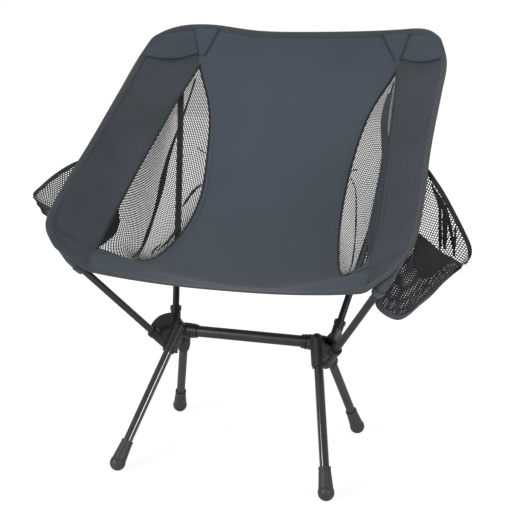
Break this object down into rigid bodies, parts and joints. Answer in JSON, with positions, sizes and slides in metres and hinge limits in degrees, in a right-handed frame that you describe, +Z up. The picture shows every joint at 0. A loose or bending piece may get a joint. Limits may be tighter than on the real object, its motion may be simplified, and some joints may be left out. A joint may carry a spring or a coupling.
{
  "type": "folding camp chair",
  "caption": "Ultralight folding-pole camp chair: hubs on a crossbar, pull-out legs and seat poles, fabric sling with mesh sides and side pockets.",
  "frame": {"origin": "on the ground at the centre of the chair's box", "axes": "+Z up, the chair faces -Y, +X is the viewer's right seen from the front"},
  "size_m": [0.6832, 0.4566, 0.6537],
  "materials": {
    "hub_plastic": "satin moulded nylon",
    "crossbar_tube": "satin black anodised aluminium",
    "leg_tube": "gloss black anodised aluminium",
    "pole_tube": "satin black anodised aluminium",
    "steel_pin": "plain",
    "shock_cord": "braided elastic",
    "rubber_foot": "matte",
    "tip_plastic": "matte",
    "sling_fabric": "plain woven polyester",
    "binding_tape": "folded woven tape with a stitch line",
    "mesh": "open polyester mesh",
    "elastic": "bound elastic"
  },
  "bodies": {
    "frame": {"crossbar": "crossbar_tube", "crossbar_cord": "shock_cord", "collar_left": "hub_plastic", "collar_right": "hub_plastic", "hub_left": "hub_plastic", "hub_right": "hub_plastic", "hub_pins": "steel_pin", "seat_panel": "sling_fabric", "side_panel_left": "sling_fabric", "side_panel_right": "sling_fabric", "mesh_panel_left": "mesh", "mesh_panel_right": "mesh", "edge_binding": "binding_tape", "side_pocket_left": "mesh", "side_pocket_right": "mesh", "pocket_rim_left": "elastic", "pocket_rim_right": "elastic"},
    "front_leg_left": {"leg_front_left": "leg_tube", "foot_front_left": "rubber_foot", "leg_cord_front_left": "shock_cord"},
    "rear_leg_left": {"leg_rear_left": "leg_tube", "foot_rear_left": "rubber_foot", "leg_cord_rear_left": "shock_cord"},
    "front_seat_pole_left": {"front_pole_left": "pole_tube", "front_pole_tip_left": "tip_plastic", "front_pole_cord_left": "shock_cord"},
    "rear_seat_pole_left": {"rear_pole_lower_left": "pole_tube", "rear_pole_upper_left": "pole_tube", "rear_pole_ferrule_left": "steel_pin", "rear_pole_tip_left": "tip_plastic", "rear_pole_cord_left": "shock_cord"},
    "front_corner_left": {"corner_pocket_front_left": "sling_fabric"},
    "rear_corner_left": {"corner_pocket_rear_left": "sling_fabric"},
    "front_leg_right": {"leg_front_right": "leg_tube", "foot_front_right": "rubber_foot", "leg_cord_front_right": "shock_cord"},
    "rear_leg_right": {"leg_rear_right": "leg_tube", "foot_rear_right": "rubber_foot", "leg_cord_rear_right": "shock_cord"},
    "front_seat_pole_right": {"front_pole_right": "pole_tube", "front_pole_tip_right": "tip_plastic", "front_pole_cord_right": "shock_cord"},
    "rear_seat_pole_right": {"rear_pole_lower_right": "pole_tube", "rear_pole_upper_right": "pole_tube", "rear_pole_ferrule_right": "steel_pin", "rear_pole_tip_right": "tip_plastic", "rear_pole_cord_right": "shock_cord"},
    "front_corner_right": {"corner_pocket_front_right": "sling_fabric"},
    "rear_corner_right": {"corner_pocket_rear_right": "sling_fabric"}
  },
  "joints": [
    {"name": "front_leg_left_pull", "type": "slide", "parent": "frame", "child": "front_leg_left", "axis": [-0.214, -0.593, -0.7763], "range_m": [0, 0.045]},
    {"name": "rear_leg_left_pull", "type": "slide", "parent": "frame", "child": "rear_leg_left", "axis": [-0.2246, 0.3956, -0.8905], "range_m": [0, 0.045]},
    {"name": "front_leg_right_pull", "type": "slide", "parent": "frame", "child": "front_leg_right", "axis": [0.214, -0.593, -0.7763], "range_m": [0, 0.045]},
    {"name": "rear_leg_right_pull", "type": "slide", "parent": "frame", "child": "rear_leg_right", "axis": [0.2246, 0.3956, -0.8905], "range_m": [0, 0.045]},
    {"name": "front_corner_left_unhook", "type": "slide", "parent": "frame", "child": "front_corner_left", "axis": [-0.4626, -0.5126, 0.7234], "range_m": [0, 0.05]},
    {"name": "rear_corner_left_unhook", "type": "slide", "parent": "frame", "child": "rear_corner_left", "axis": [-0.1234, 0.3775, 0.9178], "range_m": [0, 0.05]},
    {"name": "front_pole_left_pull", "type": "slide", "parent": "frame", "child": "front_seat_pole_left", "axis": [-0.4626, -0.5126, 0.7234], "range_m": [0, 0.02]},
    {"name": "rear_pole_left_pull", "type": "slide", "parent": "frame", "child": "rear_seat_pole_left", "axis": [-0.18, 0.5506, 0.8151], "range_m": [0, 0.015]},
    {"name": "front_corner_right_unhook", "type": "slide", "parent": "frame", "child": "front_corner_right", "axis": [0.4626, -0.5126, 0.7234], "range_m": [0, 0.05]},
    {"name": "rear_corner_right_unhook", "type": "slide", "parent": "frame", "child": "rear_corner_right", "axis": [0.1234, 0.3775, 0.9178], "range_m": [0, 0.05]},
    {"name": "front_pole_right_pull", "type": "slide", "parent": "frame", "child": "front_seat_pole_right", "axis": [0.4626, -0.5126, 0.7234], "range_m": [0, 0.02]},
    {"name": "rear_pole_right_pull", "type": "slide", "parent": "frame", "child": "rear_seat_pole_right", "axis": [0.18, 0.5506, 0.8151], "range_m": [0, 0.015]}
  ],
  "couplings": [
    {"joint": "front_pole_left_pull", "follows": "front_corner_left_unhook", "ratio": 0.4},
    {"joint": "rear_pole_left_pull", "follows": "rear_corner_left_unhook", "ratio": 0.3},
    {"joint": "front_pole_right_pull", "follows": "front_corner_right_unhook", "ratio": 0.4},
    {"joint": "rear_pole_right_pull", "follows": "rear_corner_right_unhook", "ratio": 0.3}
  ]
}
